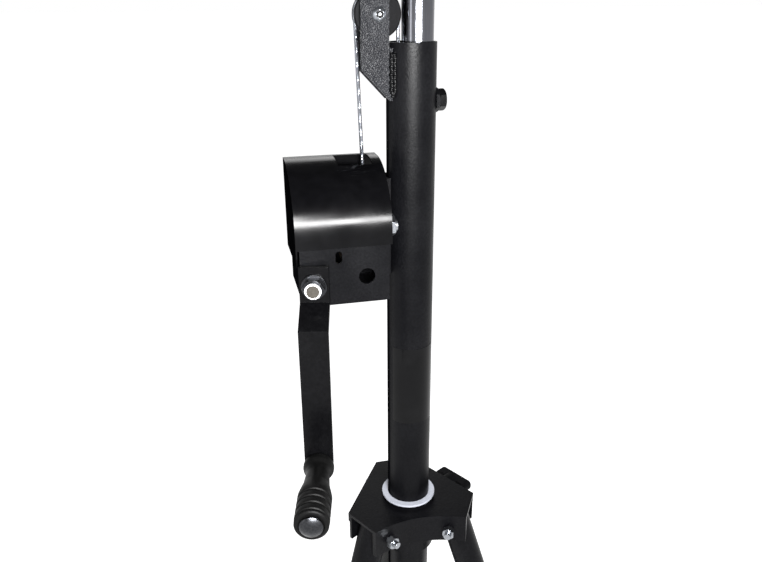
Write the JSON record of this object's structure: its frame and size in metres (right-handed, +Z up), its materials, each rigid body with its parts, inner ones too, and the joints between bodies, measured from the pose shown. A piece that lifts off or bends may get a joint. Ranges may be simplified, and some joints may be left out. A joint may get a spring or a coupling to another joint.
{
  "type": "wind-up tripod stand",
  "caption": "Steel tripod stand whose chromed inner mast is wound up and down by a wire rope, a top pulley and a worm-gear hand winch with a folding tripod base.",
  "frame": {"origin": "middle of the mast foot pad's underside, on the floor", "axes": "+Z up the mast; the winch is on the -X side and its crank faces -Y"},
  "size_m": [0.6528, 0.5808, 1.684],
  "materials": {
    "black_powder": "satin powder coat with a fine grain",
    "crank_black": "semi-gloss black enamel",
    "hammertone_black": "hammered dark grey texture coat",
    "hood_plastic": "smooth glossy black moulding",
    "label_black": "glossy black film",
    "chrome": "bright chrome plating",
    "zinc": "bright zinc plating",
    "rope_wire": "galvanised strands",
    "steel_drive": "machined, lightly oiled",
    "bronze": "sintered bronze",
    "black_nylon": "moulded nylon",
    "white_nylon": "natural nylon",
    "black_rubber": "moulded rubber"
  },
  "bodies": {
    "mast": {"mast_outer_tube": "black_powder", "mast_foot_pad": "black_rubber", "mast_top_guide": "black_nylon", "rating_label": "label_black", "lock_bolt_boss": "black_powder", "pulley_bracket_plates": "hammertone_black", "bracket_weld_beads": "hammertone_black", "pulley_axle_bolt": "zinc", "pulley_axle_nut": "zinc", "winch_frame": "black_powder", "winch_mast_mounts": "black_powder", "winch_mount_bolts": "zinc", "winch_mount_nuts": "zinc", "winch_hood": "hood_plastic", "winch_cover_screws": "zinc", "drum_shaft": "zinc", "drum_shaft_washer": "zinc", "drum_shaft_nut": "zinc", "worm_bushes": "bronze", "rope_lift_span": "rope_wire", "rope_inner_span": "rope_wire", "lower_collar": "black_powder", "collar_rivets": "zinc"},
    "inner_mast": {"mast_inner_tube": "chrome", "inner_slider": "black_nylon", "rope_end_ferrule": "zinc", "top_spigot": "chrome"},
    "drum": {"rope_drum": "steel_drive", "drum_gear": "steel_drive", "rope_dead_wrap": "rope_wire", "drum_bushes": "bronze"},
    "crank": {"worm_shaft": "steel_drive", "crank_arm": "crank_black", "crank_washer": "zinc", "crank_nut": "zinc", "grip_pin": "zinc", "grip_pin_cap": "zinc"},
    "grip": {"crank_grip": "black_rubber"},
    "pulley": {"pulley_wheel": "black_nylon", "pulley_bush": "bronze"},
    "hub": {"hub_shell": "black_powder", "hub_bush": "white_nylon", "leg_pivot_bolts": "zinc", "leg_pivot_nuts": "zinc"},
    "knob": {"clamp_knob": "black_nylon", "clamp_screw": "zinc"},
    "lock_bolt": {"mast_lock_bolt": "crank_black"},
    "leg_1": {"leg_1_tube": "black_powder", "leg_1_foot": "black_rubber", "leg_1_strut_pin": "zinc"},
    "strut_1": {"strut_1": "black_powder"},
    "leg_2": {"leg_2_tube": "black_powder", "leg_2_foot": "black_rubber", "leg_2_strut_pin": "zinc"},
    "strut_2": {"strut_2": "black_powder"},
    "leg_3": {"leg_3_tube": "black_powder", "leg_3_foot": "black_rubber", "leg_3_strut_pin": "zinc"},
    "strut_3": {"strut_3": "black_powder"}
  },
  "joints": [
    {"name": "mast_lift", "type": "slide", "parent": "mast", "child": "inner_mast", "axis": [0, 0, 1], "range_m": [0, 1], "deforming": ["rope_inner_span"]},
    {"name": "drum_turn", "type": "hinge", "parent": "mast", "child": "drum", "pos_m": [-0.1052, -0.04, 1.283], "axis": [-1, 0, 0], "range_deg": [0, 2575]},
    {"name": "crank_turn", "type": "hinge", "parent": "mast", "child": "crank", "pos_m": [-0.1052, -0.04, 1.24411], "axis": [0.225, 0.9744, 0], "range_deg": [0, 38550]},
    {"name": "grip_spin", "type": "hinge", "parent": "crank", "child": "grip", "pos_m": [-0.12263, -0.11551, 1.06771], "axis": [0.225, 0.9744, 0], "continuous": true},
    {"name": "pulley_turn", "type": "hinge", "parent": "mast", "child": "pulley", "pos_m": [-0.0345, 0, 1.479], "axis": [0, -1, 0], "range_deg": [0, 2734]},
    {"name": "hub_slide", "type": "slide", "parent": "mast", "child": "hub", "axis": [0, 0, 1], "range_m": [0, 0.08678]},
    {"name": "knob_turn", "type": "hinge", "parent": "hub", "child": "knob", "pos_m": [0.06928, 0.04, 0.9], "axis": [0.866, 0.5, 0], "range_deg": [0, 360]},
    {"name": "lock_bolt_turn", "type": "hinge", "parent": "mast", "child": "lock_bolt", "pos_m": [0.03, 0, 1.398], "axis": [1, 0, 0], "range_deg": [0, 360]},
    {"name": "leg_1_fold", "type": "hinge", "parent": "hub", "child": "leg_1", "pos_m": [0, 0.058, 0.904], "axis": [-1, 0, 0], "range_deg": [0, 18.1]},
    {"name": "strut_1_fold", "type": "hinge", "parent": "mast", "child": "strut_1", "pos_m": [0, 0.045, 0.33119], "axis": [1, 0, 0], "range_deg": [0, 42.94]},
    {"name": "leg_2_fold", "type": "hinge", "parent": "hub", "child": "leg_2", "pos_m": [-0.05023, -0.029, 0.904], "axis": [0.5, -0.866, 0], "range_deg": [0, 18.1]},
    {"name": "strut_2_fold", "type": "hinge", "parent": "mast", "child": "strut_2", "pos_m": [-0.03897, -0.0225, 0.33119], "axis": [-0.5, 0.866, 0], "range_deg": [0, 42.94]},
    {"name": "leg_3_fold", "type": "hinge", "parent": "hub", "child": "leg_3", "pos_m": [0.05023, -0.029, 0.904], "axis": [0.5, 0.866, 0], "range_deg": [0, 18.1]},
    {"name": "strut_3_fold", "type": "hinge", "parent": "mast", "child": "strut_3", "pos_m": [0.03897, -0.0225, 0.33119], "axis": [-0.5, -0.866, 0], "range_deg": [0, 42.94]}
  ],
  "couplings": [
    {"joint": "drum_turn", "follows": "mast_lift", "rad_per_m": 44.843},
    {"joint": "crank_turn", "follows": "mast_lift", "rad_per_m": 672.65},
    {"joint": "pulley_turn", "follows": "mast_lift", "rad_per_m": 47.619},
    {"joint": "leg_1_fold", "follows": "hub_slide", "rad_per_m": 3.6202},
    {"joint": "strut_1_fold", "follows": "hub_slide", "rad_per_m": 8.6167},
    {"joint": "leg_2_fold", "follows": "hub_slide", "rad_per_m": 3.6202},
    {"joint": "strut_2_fold", "follows": "hub_slide", "rad_per_m": 8.6167},
    {"joint": "leg_3_fold", "follows": "hub_slide", "rad_per_m": 3.6202},
    {"joint": "strut_3_fold", "follows": "hub_slide", "rad_per_m": 8.6167}
  ]
}
